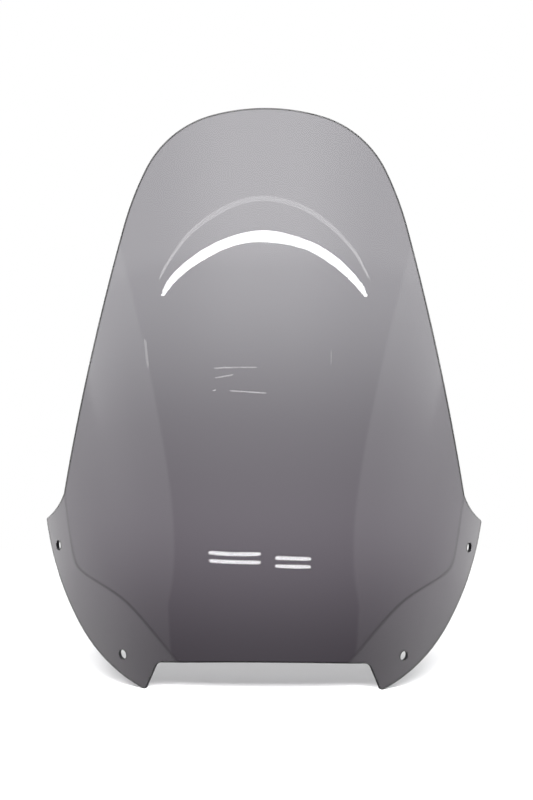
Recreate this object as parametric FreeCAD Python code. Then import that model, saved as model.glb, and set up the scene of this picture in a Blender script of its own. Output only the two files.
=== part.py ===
"""Tall motorcycle windshield screen: one sheet of smoke-tinted acrylic, formed hot over a
mould, trimmed square to its face and drilled for four screws.

Frame: X to the rider's left as seen from the front of the machine, Y back towards the rider,
Z up. The origin is on the middle plane, midway between the foremost and rearmost points, at
the height of the lobes' tips, on which the screen stands. Millimetres.
"""
import FreeCAD, Part
import math
import os

Vector = FreeCAD.Vector

# Overall sizes of the trimmed sheet, measured square to the middle plane.
SCREEN_HEIGHT = 598.0
SHOULDER_HALF_WIDTH = 230.7
SHOULDER_HEIGHT = 169.4
SHEET_THICKNESS = 3.5

# Outline above the shoulders: a broad crown arc, a tighter cheek arc and a flatter temple arc
# at each side of it, a nearly straight side down to the waist, and a hollow arc out to the
# shoulder.
CROWN_RADIUS = 216.0
CROWN_TURN = math.radians(15.2)
CHEEK_RADIUS = 107.5
CHEEK_TURN = math.radians(48.7)
TEMPLE_RADIUS = 332.0
TEMPLE_TURN = math.radians(11.1)
WAIST_HALF_WIDTH = 209.2
WAIST_RISE = 28.6
WAIST_HOLLOW = 2.6

# Outline below the shoulders: the flank arc and the rounder arc on to the tip of each lobe,
# and the cut-out between the lobes. Headings are measured downwards from +X.
FLANK_RADIUS = 297.0
FLANK_HEADING = math.radians(98.9)
FLANK_TURN = math.radians(22.0)
TIP_HALF_WIDTH = 120.5
NOTCH_HALF_WIDTH = 108.0
NOTCH_HEIGHT = 29.5
NOTCH_ARCH = 3.5

SHOULDER_RADIUS = 3.0
TIP_RADIUS = 3.0
NOTCH_RADIUS = 8.0

# Form of the outer face. Its level sections are arcs, tightest at the foot, which run on
# straight past the greatest wrap, and its upright middle line leans back, turning from level
# at the foremost height to its full slope.
FOOT_SECTION_RADIUS = 245.0
CROWN_SECTION_RADIUS = 470.0
GREATEST_WRAP = math.radians(65.0)
FOREMOST_HEIGHT = 78.0
LEAN_SLOPE = math.tan(math.radians(13.0))
LEAN_LENGTH = 165.0

# Mounting flanges: outside the fold line each lobe is turned further back by the fold angle.
# The line runs from the cut-out to the elbow, along a shelf to the heel, and up to the waist.
FOLD_SLOPE = math.tan(math.radians(14.0))
FOLD_SOFTNESS = 2.5
FOLD_BLEND = 10.0
FOLD_START = (89.0, 35.0)
FOLD_ELBOW = (141.0, 96.0)
FOLD_HEEL = (198.0, 120.0)
FOLD_TOP = (208.0, 189.0)

# Screw holes, drilled square to the face in the middle of each flange.
HOLE_DIAMETER = 10.0
UPPER_HOLE = (215.7, 142.4)
LOWER_HOLE = (144.2, 34.8)

# Spacing of the surfaces' points: close where the folds are, wide on the plain upper part.
FINE_STEP = 4.0
COARSE_STEP = 16.0
SURFACE_MARGIN = 12.0

# The blank is cut over-thick, then brought down to the inner face over this depth.
BLANK_ALLOWANCE = 2.0
OFFSET_TOLERANCE = 0.001


def fold_distance(x, z, start, end):
    """Distance of a point outside the straight fold line from start up to end."""
    run = end[0] - start[0]
    rise = end[1] - start[1]
    return ((x - start[0]) * rise - (z - start[1]) * run) / math.hypot(run, rise)


def soft_positive(distance, softness):
    """The distance where it is positive and nought where it isn't, with a rounded turn."""
    return 0.5 * (distance + math.sqrt(distance**2 + softness**2))


def soft_larger(first, second, softness):
    """The larger of two distances, rounded where they are the same."""
    return second + soft_positive(first - second, softness)


def flange_distance(x, z):
    """Distance outside the whole fold line, at either side of the screen."""
    x = abs(x)
    rising = fold_distance(x, z, FOLD_START, FOLD_ELBOW)
    shelf = fold_distance(x, z, FOLD_ELBOW, FOLD_HEEL)
    upright = fold_distance(x, z, FOLD_HEEL, FOLD_TOP)
    lower = -soft_larger(-rising, -shelf, FOLD_BLEND)
    return soft_larger(lower, upright, FOLD_BLEND)


def face_depth(x, z):
    """How far back the outer face lies at a place across and up."""
    above = z - FOREMOST_HEIGHT
    lean = LEAN_SLOPE * (above + LEAN_LENGTH * (math.exp(-above / LEAN_LENGTH) - 1.0))
    growth = (CROWN_SECTION_RADIUS - FOOT_SECTION_RADIUS) * (z / SCREEN_HEIGHT) ** 2
    radius = FOOT_SECTION_RADIUS + growth
    wrapped = min(abs(x), radius * math.sin(GREATEST_WRAP))
    straight = (abs(x) - wrapped) * math.tan(GREATEST_WRAP)
    sweep = radius - math.sqrt(radius**2 - wrapped**2) + straight
    fold = FOLD_SLOPE * soft_positive(flange_distance(x, z), FOLD_SOFTNESS)
    return lean + sweep + fold


def face_point(x, z):
    return Vector(x, face_depth(x, z), z)


def face_normal(x, z):
    """Unit vector square to the outer face, pointing out towards the front."""
    reach = 0.5
    across = face_point(x + reach, z) - face_point(x - reach, z)
    up = face_point(x, z + reach) - face_point(x, z - reach)
    return across.cross(up).normalize()


def inner_point(x, z):
    """Place on the inner face, straight through the sheet from a place on the outer face."""
    return face_point(x, z) - face_normal(x, z) * SHEET_THICKNESS


def spaced(start, end, step):
    """Evenly spaced values from start to end, no further apart than the step."""
    count = math.ceil((end - start) / step)
    return [start + (end - start) * i / count for i in range(count + 1)]


def smooth_surface(point_at):
    """Smooth surface through the points of a face, a little larger than the outline."""
    edge = SHOULDER_HALF_WIDTH + SURFACE_MARGIN
    inner = FOLD_START[0] - SURFACE_MARGIN
    half = spaced(inner, edge, FINE_STEP)
    across = [-x for x in reversed(half)] + spaced(-inner, inner, COARSE_STEP)[1:-1] + half
    fine_top = FOLD_TOP[1] + SURFACE_MARGIN
    up = spaced(-SURFACE_MARGIN, fine_top, FINE_STEP)
    up += spaced(fine_top, SCREEN_HEIGHT + SURFACE_MARGIN, COARSE_STEP)[1:]
    surface = Part.BSplineSurface()
    surface.interpolate([[point_at(x, z) for z in up] for x in across])
    return surface.toShape()


def edge_place(x, z):
    return Vector(x, 0, z)


def arc_between(start, middle, end):
    return Part.Arc(start, middle, end).toShape()


def turning_arc(start, heading, radius, turn):
    """Arc that leaves the start along a heading and turns to the right by an angle.

    Gives the arc's edge with the place and heading at its end. Headings are measured
    downwards from +X, in radians.
    """
    centre = start + Vector(-math.sin(heading), 0, -math.cos(heading)) * radius
    spokes = [heading + turn * share for share in (0.5, 1.0)]
    middle, end = (centre + Vector(math.sin(a), 0, math.cos(a)) * radius for a in spokes)
    return arc_between(start, middle, end), end, heading + turn


def tangent_arc(start, heading, end):
    """Arc that leaves the start along a heading and reaches the end."""
    chord = end - start
    inward = Vector(-math.sin(heading), 0, -math.cos(heading))
    radius = 0.5 * chord.Length**2 / chord.dot(inward)
    turn = 2.0 * math.asin(0.5 * chord.Length / radius)
    return turning_arc(start, heading, radius, turn)[0]


def outline():
    """Closed line round the sheet, seen square to the middle plane."""
    waist = edge_place(WAIST_HALF_WIDTH, SHOULDER_HEIGHT + WAIST_RISE)
    shoulder = edge_place(SHOULDER_HALF_WIDTH, SHOULDER_HEIGHT)
    tip = edge_place(TIP_HALF_WIDTH, 0.0)
    notch = edge_place(NOTCH_HALF_WIDTH, NOTCH_HEIGHT)
    top = edge_place(0.0, SCREEN_HEIGHT)
    crown, cheek_start, heading = turning_arc(top, 0.0, CROWN_RADIUS, CROWN_TURN)
    cheek, temple_start, heading = turning_arc(cheek_start, heading, CHEEK_RADIUS, CHEEK_TURN)
    temple, side_start, heading = turning_arc(
        temple_start, heading, TEMPLE_RADIUS, TEMPLE_TURN
    )
    across_waist = shoulder - waist
    hollow = edge_place(across_waist.z, -across_waist.x).normalize() * WAIST_HOLLOW
    flank, lobe_start, lobe_heading = turning_arc(
        shoulder, FLANK_HEADING, FLANK_RADIUS, FLANK_TURN
    )
    right = [
        crown,
        cheek,
        temple,
        tangent_arc(side_start, heading, waist),
        arc_between(waist, (waist + shoulder) * 0.5 + hollow, shoulder),
        flank,
        tangent_arc(lobe_start, lobe_heading, tip),
        Part.makeLine(tip, notch),
    ]
    left = [edge.mirror(Vector(0, 0, 0), Vector(1, 0, 0)) for edge in right]
    far_notch = edge_place(-NOTCH_HALF_WIDTH, NOTCH_HEIGHT)
    cut_out = arc_between(notch, edge_place(0.0, NOTCH_HEIGHT + NOTCH_ARCH), far_notch)
    return Part.Wire(Part.__sortEdges__(right + left + [cut_out]))


def outline_prism():
    """Solid that runs the whole outline through the sheet, with its corners rounded."""
    front = -2.0 * SURFACE_MARGIN
    back = 2.0 * SHOULDER_HALF_WIDTH
    face = Part.Face(outline())
    face.translate(Vector(0, front, 0))
    prism = face.extrude(Vector(0, back - front, 0))
    corners = (
        (SHOULDER_HALF_WIDTH, SHOULDER_HEIGHT, SHOULDER_RADIUS),
        (TIP_HALF_WIDTH, 0.0, TIP_RADIUS),
        (NOTCH_HALF_WIDTH, NOTCH_HEIGHT, NOTCH_RADIUS),
    )
    for across, height, radius in corners:
        for side in (-1, 1):
            place = Vector(side * across, 0, height)
            edges = [edge for edge in prism.Edges if passes(edge, place)]
            prism = prism.makeFillet(radius, edges)
    return prism


def passes(edge, place):
    """Whether an edge is a straight one along Y through the place."""
    ends = [vertex.Point for vertex in edge.Vertexes]
    return all(abs(end.x - place.x) < 0.01 and abs(end.z - place.z) < 0.01 for end in ends)


def drill(x, z):
    """Round tool set square to the face at a place on it, long enough to pass right through."""
    normal = face_normal(x, z)
    reach = HOLE_DIAMETER
    start = face_point(x, z) + normal * reach
    return Part.makeCylinder(0.5 * HOLE_DIAMETER, 2.0 * reach, start, normal * -1.0)


def screen_panel():
    """The sheet: an over-thick blank with its rim square to the outer face all round,
    brought down to the inner face and drilled.
    """
    face = smooth_surface(face_point).common(outline_prism()).Faces[0]
    depth = SHEET_THICKNESS + BLANK_ALLOWANCE
    blank = face.makeOffsetShape(-depth, OFFSET_TOLERANCE, fill=True)
    space_behind = smooth_surface(inner_point).extrude(Vector(0, SHOULDER_HALF_WIDTH, 0))
    panel = blank.cut(space_behind)
    for x, z in (UPPER_HOLE, LOWER_HOLE):
        for side in (-1, 1):
            panel = panel.cut(drill(side * x, z))
    panel = panel.Solids[0]
    box = panel.optimalBoundingBox(False)
    panel.translate(Vector(0, -box.Center.y, -box.ZMin))
    return panel


os.makedirs("parts", exist_ok=True)
screen_panel().exportStep("parts/screen_panel.step")
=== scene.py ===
"""A tall smoke-tinted motorcycle windshield screen, stood on its lobe tips on a pale floor."""
import math

import bpy
import numpy as np
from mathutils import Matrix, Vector
from mathutils.geometry import delaunay_2d_cdt


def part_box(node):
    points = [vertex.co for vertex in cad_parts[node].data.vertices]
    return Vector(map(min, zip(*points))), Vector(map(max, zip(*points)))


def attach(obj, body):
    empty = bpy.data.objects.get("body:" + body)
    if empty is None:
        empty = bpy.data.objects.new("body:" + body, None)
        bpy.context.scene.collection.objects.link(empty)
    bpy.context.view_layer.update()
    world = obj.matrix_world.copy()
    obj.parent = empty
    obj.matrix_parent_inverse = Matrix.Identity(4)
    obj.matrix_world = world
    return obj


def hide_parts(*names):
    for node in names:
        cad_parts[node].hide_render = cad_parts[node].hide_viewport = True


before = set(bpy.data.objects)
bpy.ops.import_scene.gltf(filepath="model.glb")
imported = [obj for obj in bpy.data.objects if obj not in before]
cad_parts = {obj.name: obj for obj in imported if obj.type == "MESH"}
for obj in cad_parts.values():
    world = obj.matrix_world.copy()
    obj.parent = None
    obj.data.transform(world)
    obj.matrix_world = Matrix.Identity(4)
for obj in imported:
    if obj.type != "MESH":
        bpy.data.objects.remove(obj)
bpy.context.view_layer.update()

MM = 0.001

# ---------------------------------------------------------------------------------------
# The screen panel's form. One sheet of cast acrylic is heated until it sags over a mould,
# so its level sections are arcs that open out towards the crown, and it leans back more and
# more up to a steady slope. Both lower corners are folded back a little as mounting flanges.
# ---------------------------------------------------------------------------------------
SCREEN_HEIGHT = 598.0 * MM
FOOT_SECTION_RADIUS = 245.0 * MM
CROWN_SECTION_RADIUS = 470.0 * MM
FOREMOST_HEIGHT = 78.0 * MM
LEAN_SLOPE = math.tan(math.radians(13.0))
LEAN_LENGTH = 165.0 * MM
FOLD_SLOPE = math.tan(math.radians(14.0))
FOLD_SOFTNESS = 0.7 * MM
FOLD_BLEND = 10.0 * MM
FOLD_START = (89.0 * MM, 35.0 * MM)
FOLD_ELBOW = (141.0 * MM, 96.0 * MM)
FOLD_HEEL = (198.0 * MM, 120.0 * MM)
FOLD_TOP = (208.0 * MM, 189.0 * MM)
NORMAL_REACH = 0.1 * MM

panel_low, panel_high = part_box("screen_panel")
TIP_LIFT = panel_high.z - SCREEN_HEIGHT
FRONT_LINE = panel_low.y


def fold_distance(x, z, start, end):
    run = end[0] - start[0]
    rise = end[1] - start[1]
    return ((x - start[0]) * rise - (z - start[1]) * run) / math.hypot(run, rise)


def soft_positive(distance, softness):
    return 0.5 * (distance + np.sqrt(distance**2 + softness**2))


def soft_larger(first, second, softness):
    return second + soft_positive(first - second, softness)


def flange_distance(x, z):
    """How far a place lies outside the fold line at its side of the screen."""
    x = np.abs(x)
    rising = fold_distance(x, z, FOLD_START, FOLD_ELBOW)
    shelf = fold_distance(x, z, FOLD_ELBOW, FOLD_HEEL)
    upright = fold_distance(x, z, FOLD_HEEL, FOLD_TOP)
    lower = -soft_larger(-rising, -shelf, FOLD_BLEND)
    return soft_larger(lower, upright, FOLD_BLEND)


def face_points(places):
    """Places across and up, as points on the outer face in the row frame."""
    x, z = places[:, 0], places[:, 1]
    above = z - FOREMOST_HEIGHT
    lean = LEAN_SLOPE * (above + LEAN_LENGTH * (np.exp(-above / LEAN_LENGTH) - 1.0))
    growth = (CROWN_SECTION_RADIUS - FOOT_SECTION_RADIUS) * (z / SCREEN_HEIGHT) ** 2
    radius = FOOT_SECTION_RADIUS + growth
    sweep = radius - np.sqrt(radius**2 - x**2)
    fold = FOLD_SLOPE * soft_positive(flange_distance(x, z), FOLD_SOFTNESS)
    return np.stack([x, FRONT_LINE + lean + sweep + fold, z + TIP_LIFT], axis=1)


def unit(vectors):
    return vectors / np.linalg.norm(vectors, axis=1, keepdims=True)


def face_normals(places):
    """Directions square to the outer face at the places, out towards the front."""
    reach = NORMAL_REACH
    step_x = np.array([reach, 0.0])
    step_z = np.array([0.0, reach])
    across = face_points(places + step_x) - face_points(places - step_x)
    up = face_points(places + step_z) - face_points(places - step_z)
    return unit(np.cross(across, up))


# ---------------------------------------------------------------------------------------
# The panel's outline, routed after forming: crown, cheeks, straight sides, hollow waists,
# flanks and lobes, and the wide cut-out for the nose of the fairing.
# ---------------------------------------------------------------------------------------
SHOULDER = np.array([230.7, 169.4]) * MM
WAIST = np.array([209.2, 198.0]) * MM
WAIST_HOLLOW = 2.6 * MM
TIP = np.array([120.5, 0.0]) * MM
NOTCH = np.array([108.0, 29.5]) * MM
NOTCH_ARCH = 3.5 * MM
CROWN_RADIUS, CROWN_TURN = 216.0 * MM, math.radians(15.2)
CHEEK_RADIUS, CHEEK_TURN = 107.5 * MM, math.radians(48.7)
TEMPLE_RADIUS, TEMPLE_TURN = 332.0 * MM, math.radians(11.1)
FLANK_RADIUS, FLANK_HEADING, FLANK_TURN = 297.0 * MM, math.radians(98.9), math.radians(22.0)
SHOULDER_RADIUS = 3.0 * MM
TIP_RADIUS = 3.0 * MM
NOTCH_RADIUS = 8.0 * MM
RUN_STEP = 1.5 * MM
CORNER_STEPS = 12


def turning_run(start, heading, radius, turn):
    """Points along an arc that turns right, or left where the turn is negative.

    Headings are measured downwards from straight across, in radians.
    """
    reach = math.copysign(radius, turn)
    centre = start + reach * np.array([-math.sin(heading), -math.cos(heading)])
    count = max(CORNER_STEPS, math.ceil(radius * abs(turn) / RUN_STEP))
    angles = heading + turn * np.arange(count + 1) / count
    return centre + reach * np.stack([np.sin(angles), np.cos(angles)], axis=1)


def tangent_run(start, heading, end):
    """Points along the arc that leaves the start on a heading and reaches the end."""
    chord = end - start
    inward = np.array([-math.sin(heading), -math.cos(heading)])
    radius = 0.5 * chord @ chord / (chord @ inward)
    turn = 2.0 * math.asin(0.5 * math.hypot(*chord) / radius)
    return turning_run(start, heading, abs(radius), turn)


def straight_run(start, end):
    """Evenly spaced points from the start to the end."""
    count = math.ceil(math.hypot(*(end - start)) / RUN_STEP)
    share = np.arange(count + 1)[:, None] / count
    return start + (end - start) * share


def heading_of(start, end):
    """The heading from one place to another, downwards from straight across."""
    return math.atan2(start[1] - end[1], end[0] - start[0])


def round_corner(first, second, radius):
    """Two runs that meet at a corner, joined by a small tangent arc."""
    corner = first[-1]
    heading = heading_of(first[-2], corner)
    turn = (heading_of(corner, second[1]) - heading + math.pi) % (2.0 * math.pi) - math.pi
    reach = radius * math.tan(0.5 * abs(turn))
    before = first[np.hypot(*(first - corner).T) > reach]
    after = second[np.hypot(*(second - corner).T) > reach]
    start = corner - reach * np.array([math.cos(heading), -math.sin(heading)])
    return np.concatenate([before, turning_run(start, heading, radius, turn), after])


def half_outline():
    """The right half of the outline, from the top of the crown to the middle of the cut-out."""
    crown = turning_run(np.array([0.0, SCREEN_HEIGHT]), 0.0, CROWN_RADIUS, CROWN_TURN)
    cheek = turning_run(crown[-1], CROWN_TURN, CHEEK_RADIUS, CHEEK_TURN)
    temple = turning_run(cheek[-1], CROWN_TURN + CHEEK_TURN, TEMPLE_RADIUS, TEMPLE_TURN)
    side = tangent_run(temple[-1], CROWN_TURN + CHEEK_TURN + TEMPLE_TURN, WAIST)
    chord = SHOULDER - WAIST
    bow = 2.0 * math.atan(2.0 * WAIST_HOLLOW / math.hypot(*chord))
    hollow = tangent_run(WAIST, heading_of(WAIST, SHOULDER) + bow, SHOULDER)
    flank = turning_run(SHOULDER, FLANK_HEADING, FLANK_RADIUS, FLANK_TURN)
    lobe = tangent_run(flank[-1], FLANK_HEADING + FLANK_TURN, TIP)
    rise = straight_run(TIP, NOTCH)
    notch_radius = 0.5 * (NOTCH[0] ** 2 / NOTCH_ARCH + NOTCH_ARCH)
    notch_turn = math.asin(NOTCH[0] / notch_radius)
    cut_out = turning_run(NOTCH, math.pi + notch_turn, notch_radius, -notch_turn)
    upper = np.concatenate([crown[:-1], cheek[:-1], temple[:-1], side[:-1], hollow])
    lower = np.concatenate([flank[:-1], lobe])
    outline = round_corner(upper, lower, SHOULDER_RADIUS)
    outline = round_corner(outline, rise, TIP_RADIUS)
    return round_corner(outline, cut_out, NOTCH_RADIUS)


def full_outline():
    """The whole outline, once round, without its first point again at the end."""
    right = half_outline()
    left = right[1:-1][::-1] * np.array([-1.0, 1.0])
    return np.concatenate([right, left])


# ---------------------------------------------------------------------------------------
# Four screw holes, drilled square to the face and left bare, with a light deburring. They
# take well nuts on the motorcycle, which aren't part of the screen.
# ---------------------------------------------------------------------------------------
HOLE_RADIUS = 5.0 * MM
UPPER_HOLE = (215.7 * MM, 142.4 * MM)
LOWER_HOLE = (144.2 * MM, 34.8 * MM)
HOLE_STEPS = 96
HOLE_PASSES = 6


def hole_outline(x, z):
    """Where a drill square to the face at a place on it cuts the face, as places."""
    place = np.array([[x, z]])
    normal = face_normals(place)[0]
    side = np.cross([0.0, 0.0, 1.0], normal)
    side /= np.linalg.norm(side)
    rise = np.cross(normal, side)
    angles = 2.0 * math.pi * np.arange(HOLE_STEPS)[:, None] / HOLE_STEPS
    ring = face_points(place) + HOLE_RADIUS * (side * np.cos(angles) + rise * np.sin(angles))
    for _ in range(HOLE_PASSES):
        places = ring[:, [0, 2]] - np.array([0.0, TIP_LIFT])
        gap = ring[:, 1] - face_points(places)[:, 1]
        ring = ring + gap[:, None] * normal * abs(normal[1])
    return ring[:, [0, 2]] - np.array([0.0, TIP_LIFT])


# ---------------------------------------------------------------------------------------
# The sheet itself: both faces, the flame-polished rim and the walls of the holes, as one
# closed skin. Its shading directions come from the form, so the gloss runs true over it.
# ---------------------------------------------------------------------------------------
SHEET_THICKNESS = 3.5 * MM
RIM_ROUND = 0.7 * MM
HOLE_ROUND = 0.4 * MM
# Painted shade: a dark band on each face along the rim and round each hole, deepening to near black
# on the rounded rim and the hole walls.
RIM_SHADE_BAND = 0.9 * MM
HOLE_SHADE_BAND = 0.5 * MM
RIM_PAINTED_SHADE = 0.9
# Painted shade: a dark line painted along the fold, where the tight bend looks darker.
FOLD_PAINTED_SHADE = 0.2
FOLD_SHADE_WIDTH = 0.9 * MM
ROUND_STEPS = 5
RUN_GAP = 0.5
FOLD_GAP = 0.6
SAME_PLACE = 1e-7
PLAIN_STEP = 5.0 * MM
FOLD_STEP = 0.9 * MM
FOLD_BAND = 5.0 * MM


def inside(places, loop):
    """Which places lie inside a closed loop of places."""
    x, z = places[:, 0][:, None], places[:, 1][:, None]
    x0, z0 = loop[:, 0], loop[:, 1]
    x1, z1 = np.roll(x0, -1), np.roll(z0, -1)
    crosses = (z0 > z) != (z1 > z)
    rise = np.where(z1 == z0, 1.0, z1 - z0)
    return (crosses & (x < (x1 - x0) * (z - z0) / rise + x0)).sum(axis=1) % 2 == 1


def clear_of(places, loop, gap):
    """Which places are further than the gap from every point of a loop."""
    near = [np.min(np.hypot(*(loop - place).T)) for place in places]
    return np.array(near) > gap


def grid(step, offset=0.0):
    """Places at even steps over the whole height and width of the screen."""
    half = math.ceil(SHOULDER[0] / step)
    across = (np.arange(-half, half + 1) + offset) * step
    up = np.arange(0.0, SCREEN_HEIGHT, step)
    return np.stack(np.meshgrid(across, up), axis=-1).reshape(-1, 2)


def rim_rings(places, edge_round, shade_band):
    """Rings of points, shading directions and painted shade round an edge, outer face to inner."""
    points, normals = face_points(places), face_normals(places)
    ahead = unit(np.roll(points, -1, axis=0) - points)
    along = unit(ahead + np.roll(ahead, 1, axis=0))
    outward = np.cross(normals, along)
    profile = [(edge_round + shade_band, 0.0, 0.0, 0.0)]
    for i in range(ROUND_STEPS + 1):
        angle = 0.5 * math.pi * i / ROUND_STEPS
        inset = edge_round * (1.0 - math.sin(angle))
        depth = edge_round * (1.0 - math.cos(angle))
        profile.append((inset, depth, angle, RIM_PAINTED_SHADE + angle))
    rings = []
    for inset, depth, angle, painted_shade in profile:
        facing = normals * math.cos(angle) + outward * math.sin(angle)
        rings.append((points - outward * inset - normals * depth, facing, min(painted_shade, 1.0)))
    for inset, depth, angle, painted_shade in reversed(profile):
        facing = outward * math.sin(angle) - normals * math.cos(angle)
        place = points - outward * inset - normals * (SHEET_THICKNESS - depth)
        rings.append((place, facing, min(painted_shade, 1.0)))
    return rings


class Skin:
    """Vertices, their shading directions and the faces between them."""

    def __init__(self):
        self.points, self.normals, self.faces = [], [], []
        # The painted shade of each point, which the material turns near black.
        self.edge_shade = []

    def add(self, points, normals, edge_shade=0.0):
        first = len(self.points)
        self.points.extend(points.tolist())
        self.normals.extend(normals.tolist())
        self.edge_shade += np.broadcast_to(edge_shade, len(points)).tolist()
        return np.arange(first, first + len(points))

    def band(self, upper, lower):
        """Quads between two rings of the same length."""
        quads = np.stack([upper, np.roll(upper, -1), np.roll(lower, -1), lower], axis=1)
        self.faces += quads.tolist()

    def object(self, name):
        mesh = bpy.data.meshes.new(name)
        mesh.from_pydata(self.points, [], self.faces)
        mesh.polygons.foreach_set("use_smooth", [True] * len(mesh.polygons))
        mesh.normals_split_custom_set_from_vertices(self.normals)
        mesh.attributes.new("painted_rim_and_fold_shade", "FLOAT", "POINT").data.foreach_set("value", self.edge_shade)
        made = bpy.data.objects.new(name, mesh)
        bpy.context.collection.objects.link(made)
        return made


def face_field(loops):
    """Places that fill the face between the loops, closer together along the folds."""
    outline, holes = loops[0], loops[1:]
    plain, fine = grid(PLAIN_STEP), grid(FOLD_STEP, 0.5)
    fine = fine[np.abs(flange_distance(*fine.T)) < FOLD_BAND]
    plain = plain[np.abs(flange_distance(*plain.T)) > FOLD_BAND]
    field = []
    for places, gap in ((plain, RUN_GAP * PLAIN_STEP), (fine, FOLD_GAP * FOLD_STEP)):
        places = places[inside(places, outline)]
        for loop in loops:
            places = places[clear_of(places, loop, gap)]
        for hole in holes:
            places = places[~inside(places, hole)]
        field.append(places)
    return np.concatenate(field)


def join_places(loops, field):
    """Triangles that join the loops and the places between them, leaving the holes open."""
    corners = np.concatenate(loops + [field])
    borders, first = [], 0
    for loop in loops:
        borders += [(first + i, first + (i + 1) % len(loop)) for i in range(len(loop))]
        first += len(loop)
    found = delaunay_2d_cdt([Vector(c) for c in corners], borders, [], 0, SAME_PLACE)
    triangles = np.array(found[2])
    middles = corners[triangles].mean(axis=1)
    kept = inside(middles, loops[0])
    for hole in loops[1:]:
        kept &= ~inside(middles, hole)
    return triangles[kept]


def build_screen():
    skin = Skin()
    holes = [(side * x, z) for x, z in (UPPER_HOLE, LOWER_HOLE) for side in (-1, 1)]
    edges = [(full_outline(), RIM_ROUND, RIM_SHADE_BAND)]
    edges += [(hole_outline(x, z), HOLE_ROUND, HOLE_SHADE_BAND) for x, z in holes]
    loops, front_rims, back_rims = [], [], []
    for edge in edges:
        rings = [skin.add(*ring) for ring in rim_rings(*edge)]
        for upper, lower in zip(rings, rings[1:]):
            skin.band(upper, lower)
        front = np.array([skin.points[i] for i in rings[0]])
        loops.append(front[:, [0, 2]] - np.array([0.0, TIP_LIFT]))
        front_rims.append(rings[0])
        back_rims.append(rings[-1])
    field = face_field(loops)
    triangles = join_places(loops, field)
    normals = face_normals(field)
    points = face_points(field)
    # Painted shade along the fold line, fading away to both sides of it.
    bend = flange_distance(*field.T) / FOLD_SHADE_WIDTH
    painted_shade = FOLD_PAINTED_SHADE * np.exp(-(bend**2))
    front = np.concatenate(front_rims + [skin.add(points, normals, painted_shade)])
    points = points - normals * SHEET_THICKNESS
    back = np.concatenate(back_rims + [skin.add(points, -normals, painted_shade)])
    skin.faces += front[triangles].tolist() + back[triangles[:, ::-1]].tolist()
    return skin.object("smoke_screen")


screen = build_screen()
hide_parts("screen_panel")
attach(screen, "root")


# ---------------------------------------------------------------------------------------
# Smoke-tinted cast acrylic. The dye is all through the sheet, so a slanting look is darker.
# The rim, the hole walls, thin bands beside them and the fold line get painted shade, near
# black and metal-like, and both faces are glossy, with dust and fine wiping marks on them.
# ---------------------------------------------------------------------------------------
ACRYLIC_IOR = 1.49
SMOKE_DENSITY = 437.0
SMOKE_COLOUR = (0.02, 0.0, 0.045, 1.0)
FACE_COLOUR = (1.0, 1.0, 1.0, 1.0)
EDGE_SHADE_COLOUR = (0.02, 0.02, 0.022, 1.0)
EDGE_SHADE_METAL_START = 0.5
POLISH = 0.004
WIPING_ROUGHNESS = 0.012
DUST_ROUGHNESS = 0.2
EDGE_ROUGHNESS = 0.5
SAG_SCALE, SAG_DETAIL = 14.0, 1.0
DUST_SCALE, DUST_DETAIL, DUST_RANGE = 900.0, 2.0, (0.735, 0.765)
WIPING_SCALE, WIPING_DETAIL, WIPING_RANGE = 60.0, 4.0, (0.45, 0.75)
SAG_STRENGTH, SAG_DEPTH = 0.03, 2.0 * MM


class Socket:
    """A socket of a node tree, on which Python's operators add the nodes for shader maths."""

    def __init__(self, tree, source):
        self.tree, self.source = tree, source

    def node(self, kind, settings=None, inputs=None):
        """Adds a node: its type, its settings, then the values or links of its sockets."""
        made = self.tree.nodes.new(kind)
        for name, value in (settings or {}).items():
            setattr(made, name, value)
        for name, value in (inputs or {}).items():
            if isinstance(value, Socket):
                self.tree.links.new(value.source, made.inputs[name])
            else:
                made.inputs[name].default_value = value
        return made

    def out(self, made, name=0):
        return Socket(self.tree, made.outputs[name])

    def maths(self, operation, *values):
        return self.out(
            self.node("ShaderNodeMath", {"operation": operation}, dict(enumerate(values)))
        )

    def __add__(self, other):
        return self.maths("ADD", self, other)

    def __sub__(self, other):
        return self.maths("SUBTRACT", self, other)

    def __rsub__(self, other):
        return self.maths("SUBTRACT", other, self)

    def __mul__(self, other):
        return self.maths("MULTIPLY", self, other)

    __radd__ = __add__
    __rmul__ = __mul__

    def ramp(self, low, high, start=0.0, end=1.0):
        """Smooth change from start to end while this value goes from low to high."""
        settings = {"interpolation_type": "SMOOTHSTEP"}
        inputs = {"Value": self, "From Min": low, "From Max": high, "To Min": start, "To Max": end}
        return self.out(self.node("ShaderNodeMapRange", settings, inputs))

    def noise(self, scale, detail=2.0):
        """Noise of a given scale at the place that this vector gives."""
        inputs = {"Vector": self, "Scale": scale, "Detail": detail}
        return self.out(self.node("ShaderNodeTexNoise", None, inputs), "Fac")


def new_material(name):
    """An empty material with its output, and a socket to build its nodes from."""
    material = bpy.data.materials.new(name)
    material.use_nodes = True
    tree = material.node_tree
    tree.nodes.clear()
    start = Socket(tree, None)
    output = start.node("ShaderNodeOutputMaterial")
    place = start.out(start.node("ShaderNodeTexCoord"), "Object")
    return material, place, output


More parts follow.
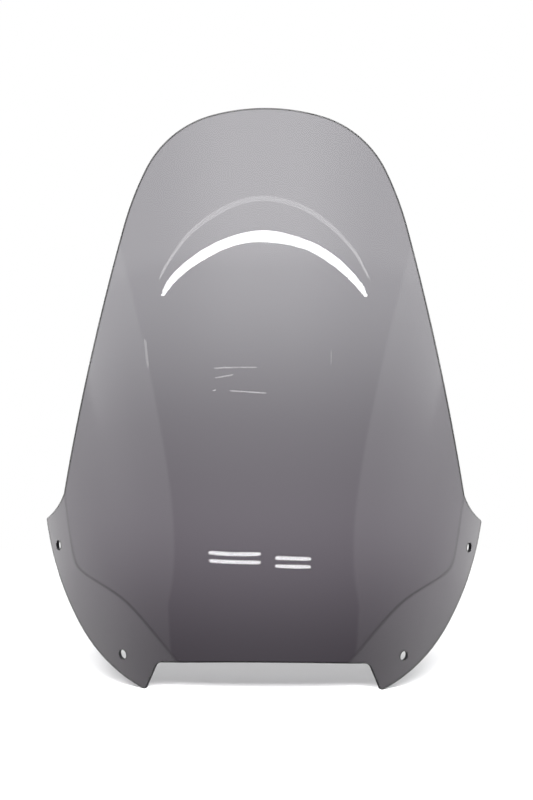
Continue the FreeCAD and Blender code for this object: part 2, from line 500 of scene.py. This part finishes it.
def smoke_acrylic():
    material, place, output = new_material("smoke_acrylic")
    sag = place.noise(SAG_SCALE, SAG_DETAIL)
    dust = place.noise(DUST_SCALE, DUST_DETAIL).ramp(*DUST_RANGE)
    wiped = place.noise(WIPING_SCALE, WIPING_DETAIL).ramp(*WIPING_RANGE)
    # Painted shade and painted sheen: where this mask is high the base colour goes near black and
    # the surface metallic and rough, on the rim, the hole walls, the bands beside them and the fold
    # line.
    edge = place.out(place.node("ShaderNodeAttribute", {"attribute_name": "painted_rim_and_fold_shade"}), "Fac")
    tone = place.node(
        "ShaderNodeMix", {"data_type": "RGBA"}, {0: edge, 6: FACE_COLOUR, 7: EDGE_SHADE_COLOUR}
    )
    bump = place.node(
        "ShaderNodeBump", None, {"Strength": SAG_STRENGTH, "Distance": SAG_DEPTH, "Height": sag}
    )
    dullness = POLISH + WIPING_ROUGHNESS * wiped + DUST_ROUGHNESS * dust
    gloss = place.node(
        "ShaderNodeBsdfPrincipled",
        None,
        {
            "Base Color": place.out(tone, 2),
            "IOR": ACRYLIC_IOR,
            "Transmission Weight": 1.0,
            "Metallic": edge.ramp(EDGE_SHADE_METAL_START, 1.0),
            "Roughness": dullness + EDGE_ROUGHNESS * (edge * edge),
            "Normal": place.out(bump),
        },
    )
    dye = place.node(
        "ShaderNodeVolumeAbsorption", None, {"Color": SMOKE_COLOUR, "Density": SMOKE_DENSITY}
    )
    place.tree.links.new(gloss.outputs["BSDF"], output.inputs["Surface"])
    place.tree.links.new(dye.outputs["Volume"], output.inputs["Volume"])
    return material


screen.data.materials.append(smoke_acrylic())

# ---------------------------------------------------------------------------------------
# The studio floor: a matt pale card under the screen, which fades away far out. The glossy
# sheet neither mirrors it nor shows it, because the room round it is given by the world.
# ---------------------------------------------------------------------------------------
FLOOR_RADIUS = 2.4
FLOOR_PLAIN_RADIUS = 0.7
FLOOR_SIDES = 128
FLOOR_COLOUR = (0.82, 0.82, 0.83, 1.0)
FLOOR_GRAIN_COLOUR = (0.84, 0.84, 0.845, 1.0)
FLOOR_GRAIN_SCALE, FLOOR_GRAIN_DETAIL = 220.0, 3.0
FLOOR_ROUGHNESS = 0.8


def studio_floor():
    bpy.ops.mesh.primitive_circle_add(vertices=FLOOR_SIDES, radius=FLOOR_RADIUS, fill_type="NGON")
    floor = bpy.context.object
    floor.name = "floor"
    material, place, output = new_material("floor_card")
    grain = place.noise(FLOOR_GRAIN_SCALE, FLOOR_GRAIN_DETAIL)
    tones = {0: grain, 6: FLOOR_COLOUR, 7: FLOOR_GRAIN_COLOUR}
    tone = place.out(place.node("ShaderNodeMix", {"data_type": "RGBA"}, tones), 2)
    card = place.node(
        "ShaderNodeBsdfPrincipled", None, {"Base Color": tone, "Roughness": FLOOR_ROUGHNESS}
    )
    length = place.node("ShaderNodeVectorMath", {"operation": "LENGTH"}, {0: place})
    reach = place.out(length, "Value")
    edge = place.node("ShaderNodeBsdfTransparent")
    fade = place.node(
        "ShaderNodeMixShader",
        None,
        {
            0: reach.ramp(FLOOR_PLAIN_RADIUS, FLOOR_RADIUS),
            1: place.out(card, "BSDF"),
            2: place.out(edge, "BSDF"),
        },
    )
    place.tree.links.new(fade.outputs["Shader"], output.inputs["Surface"])
    floor.data.materials.append(material)
    floor.visible_glossy = floor.visible_transmission = False


# ---------------------------------------------------------------------------------------
# The studio room, as the world: white to look at, even and dim to light the floor, and for
# the sheet a bright ceiling ahead, paler walls at both sides and a pale backdrop behind, which
# is darker low down with a painted shadow of the screen on the floor.
# ---------------------------------------------------------------------------------------
AMBIENT = 0.16
NEAREST_AHEAD = 0.25
CEILING_SLOPES, CEILING_GLOW = (0.306, 0.554), (0.08, 3.1)
PANEL_SLOPES, PANEL_GLOW = (0.485, 0.51), (0.0, 0.95)
CEILING_SWINGS, CEILING_SHARES = (8.0, 40.0), (0.985, 0.62)
WALL_LOWEST_RISE, WALL_MIDDLE_RISE = -4.0, 5.0
WALL_CURVE = 0.058
WALL_EDGE_SWINGS, WALL_EDGE_GLOW = (41.5, 44.0), (0.0, 0.6)
WALL_SWINGS, WALL_GLOW = (44.0, 90.0), (0.0, 1.3)
WALL_RISES, WALL_SHARES = (-4.0, 10.0), (0.8, 1.3)
SIDE_SWINGS, SIDE_GLOW = (80.0, 105.0), (0.0, 0.4)
# Painted shadow: low behind, the backdrop darkens, standing in for the screen's shadow on the floor
# seen through the sheet.
FLOOR_SHADOW_RISES, FLOOR_SHADOW_GLOW = (-6.4, -2.2), (0.31, 0.85)
BEHIND_RISES, BEHIND_GLOW = (-2.6, 3.5), (0.0, 0.65)
TURNED_SWINGS = (130.0, 150.0)
TINT_RISES = (-6.0, 2.0)
PLAIN_WHITE = (1.0, 1.0, 1.0, 1.0)
LOW_TINT = (1.0, 0.91, 1.0, 1.0)


def glow_ahead(rise, swing, slope):
    """The ceiling and the side walls in front, by degrees up, degrees aside and slope."""
    ceiling = slope.ramp(*CEILING_SLOPES, *CEILING_GLOW) + slope.ramp(*PANEL_SLOPES, *PANEL_GLOW)
    ceiling = ceiling * swing.ramp(*CEILING_SWINGS, *CEILING_SHARES)
    tilt = rise.maths("MAXIMUM", rise, WALL_LOWEST_RISE) - WALL_MIDDLE_RISE
    lateral = swing - WALL_CURVE * (tilt * tilt)
    walls = lateral.ramp(*WALL_EDGE_SWINGS, *WALL_EDGE_GLOW) + lateral.ramp(*WALL_SWINGS, *WALL_GLOW)
    walls = walls * rise.ramp(*WALL_RISES, *WALL_SHARES) + swing.ramp(*SIDE_SWINGS, *SIDE_GLOW)
    return ceiling + walls


def studio_world():
    world = bpy.data.worlds.new("studio")
    bpy.context.scene.world = world
    world.use_nodes = True
    tree = world.node_tree
    tree.nodes.clear()
    start = Socket(tree, None)
    output = start.node("ShaderNodeOutputWorld")
    direction = start.out(start.node("ShaderNodeTexCoord"), "Generated")
    parts = start.node("ShaderNodeSeparateXYZ", None, {"Vector": direction})
    x, y, z = (start.out(parts, axis) for axis in "XYZ")
    slope = start.maths("DIVIDE", z, start.maths("MAXIMUM", 0.0 - y, NEAREST_AHEAD))
    degrees = math.degrees(1.0)
    rise = start.maths("ARCSINE", z) * degrees
    swing = start.maths("ARCTAN2", start.maths("ABSOLUTE", x), 0.0 - y) * degrees
    ahead = glow_ahead(rise, swing, slope)
    # The painted shadow of the screen on the floor, low in the backdrop behind.
    behind = rise.ramp(*FLOOR_SHADOW_RISES, *FLOOR_SHADOW_GLOW) + rise.ramp(*BEHIND_RISES, *BEHIND_GLOW)
    turned = swing.ramp(*TURNED_SWINGS)
    gloss = ahead * (1.0 - turned) + behind * turned
    rays = start.node("ShaderNodeLightPath")
    seen = start.out(rays, "Is Camera Ray")
    soft = start.out(rays, "Is Diffuse Ray")
    strength = seen + (1.0 - seen) * (soft * AMBIENT + (1.0 - soft) * gloss)
    low = (1.0 - seen) * turned * rise.ramp(*TINT_RISES, 1.0, 0.0)
    tint = {0: low, 6: PLAIN_WHITE, 7: LOW_TINT}
    colour = start.out(start.node("ShaderNodeMix", {"data_type": "RGBA"}, tint), 2)
    glow = start.node("ShaderNodeBackground", None, {"Color": colour, "Strength": strength})
    tree.links.new(glow.outputs["Background"], output.inputs["Surface"])


studio_floor()
studio_world()

# ---------------------------------------------------------------------------------------
# Lights: two broad keys above the front, which lay the screen's shadow behind it, and glowing
# strips that only the gloss picks up: two bowed overhead, two pairs of low bars, and the
# thin bars of a window and two small lamps at the sides.
# ---------------------------------------------------------------------------------------
KEY_POWER = 230.0
KEY_ASIDE, KEY_AHEAD, KEY_HEIGHT = 0.4, 2.3, 1.19
KEY_WIDTH, KEY_DEPTH = 0.8, 1.0
STRIP_SPANS = 48
BOW_POWER = 1.73
END_TAPER = 0.15
END_FLARE, END_FLARE_POWER = 0.15, 3
OVERHEAD = -1.33
BARS = -3.0
BAR_HEIGHTS = (0.380, 0.315)
BAR_LOOK = {"droop": 0.0, "width": 0.031, "radiance": 18.0}
PANE_WIDTH = 0.003


def key_light(aside):
    lamp = bpy.data.lights.new("key", "AREA")
    lamp.shape = "RECTANGLE"
    lamp.size, lamp.size_y = KEY_WIDTH, KEY_DEPTH
    lamp.energy = KEY_POWER
    key = bpy.data.objects.new("key", lamp)
    place = Vector((aside, -KEY_AHEAD, KEY_HEIGHT))
    key.location = place
    key.rotation_euler = (-place).to_track_quat("-Z", "Y").to_euler()
    key.visible_glossy = key.visible_transmission = key.visible_camera = False
    bpy.context.collection.objects.link(key)


def strip_light(name, ahead, start, end, droop, width, radiance):
    """A glowing strip between two places across and up, bowed down at both ends."""
    start, end = (Vector((x, ahead, z)) for x, z in (start, end))
    points = []
    for i in range(STRIP_SPANS + 1):
        share = i / STRIP_SPANS
        outward = abs(2.0 * share - 1.0)
        middle = start.lerp(end, share)
        middle.z -= droop * outward**BOW_POWER
        taper = math.sin(math.pi * share) ** END_TAPER
        taper *= 1.0 + END_FLARE * outward**END_FLARE_POWER
        for side in (-0.5, 0.5):
            points.append(middle + Vector((0.0, 0.0, side * width * taper)))
    faces = [(2 * i, 2 * i + 2, 2 * i + 3, 2 * i + 1) for i in range(STRIP_SPANS)]
    mesh = bpy.data.meshes.new(name)
    mesh.from_pydata(points, [], faces)
    strip = bpy.data.objects.new(name, mesh)
    bpy.context.collection.objects.link(strip)
    material, place, output = new_material(name)
    glow = place.node("ShaderNodeEmission", None, {"Strength": radiance})
    place.tree.links.new(glow.outputs["Emission"], output.inputs["Surface"])
    mesh.materials.append(material)
    strip.visible_camera = strip.visible_diffuse = strip.visible_transmission = False
    strip.visible_shadow = False


def window_bar(start, end, radiance):
    strip_light("window_bar", OVERHEAD, start, end, 0.0, PANE_WIDTH, radiance)


def side_lamp(left, right, height, width, radiance):
    strip_light("side_lamp", OVERHEAD, (left, height), (right, height), 0.0, width, radiance)


for aside in (-KEY_ASIDE, KEY_ASIDE):
    key_light(aside)
strip_light(
    "overhead_strip", OVERHEAD, (-1.19, 1.14), (1.16, 1.14), droop=0.125, width=0.0245, radiance=25.0
)
strip_light(
    "far_strip", OVERHEAD, (-1.20, 1.224), (1.18, 1.224), droop=0.172, width=0.012, radiance=6.5
)
for height in BAR_HEIGHTS:
    strip_light("left_bar", BARS, (-1.5, height), (-0.06, height + 0.012), **BAR_LOOK)
    strip_light("right_bar", BARS, (0.28, height - 0.017), (1.25, height - 0.043), **BAR_LOOK)
window_bar((-0.55, 0.825), (-0.08, 0.825), radiance=7.0)
window_bar((-0.53, 0.800), (-0.33, 0.806), radiance=7.0)
window_bar((-0.37, 0.765), (0.02, 0.758), radiance=8.0)
window_bar((-0.57, 0.767), (-0.52, 0.767), radiance=6.0)
side_lamp(-1.62, -1.56, height=0.880, width=0.075, radiance=4.0)
side_lamp(0.715, 0.726, height=0.855, width=0.04, radiance=3.0)

# ---------------------------------------------------------------------------------------
# The camera: a long lens, level, straight in front of the screen near its middle height, a
# hair aside and a hair rolled.
# ---------------------------------------------------------------------------------------
CAMERA_DISTANCE = 2500.0 * MM
CAMERA_HEIGHT = 295.0 * MM
FRAME_WIDTH = 533.0 * MM
CAMERA_ASIDE = 1.9 * MM
CAMERA_ROLL = math.radians(-0.3)
CAMERA_FAR_LIMIT = 100.0


def studio_camera():
    data = bpy.data.cameras.new("camera")
    data.sensor_fit = "HORIZONTAL"
    data.lens = data.sensor_width * CAMERA_DISTANCE / FRAME_WIDTH
    data.clip_end = CAMERA_FAR_LIMIT
    camera = bpy.data.objects.new("camera", data)
    camera.location = (CAMERA_ASIDE, FRONT_LINE - CAMERA_DISTANCE, CAMERA_HEIGHT)
    camera.rotation_euler = (math.radians(90.0), CAMERA_ROLL, 0.0)
    bpy.context.collection.objects.link(camera)
    bpy.context.scene.camera = camera


studio_camera()
bpy.context.scene.view_settings.view_transform = "Standard"

bpy.context.view_layer.update()
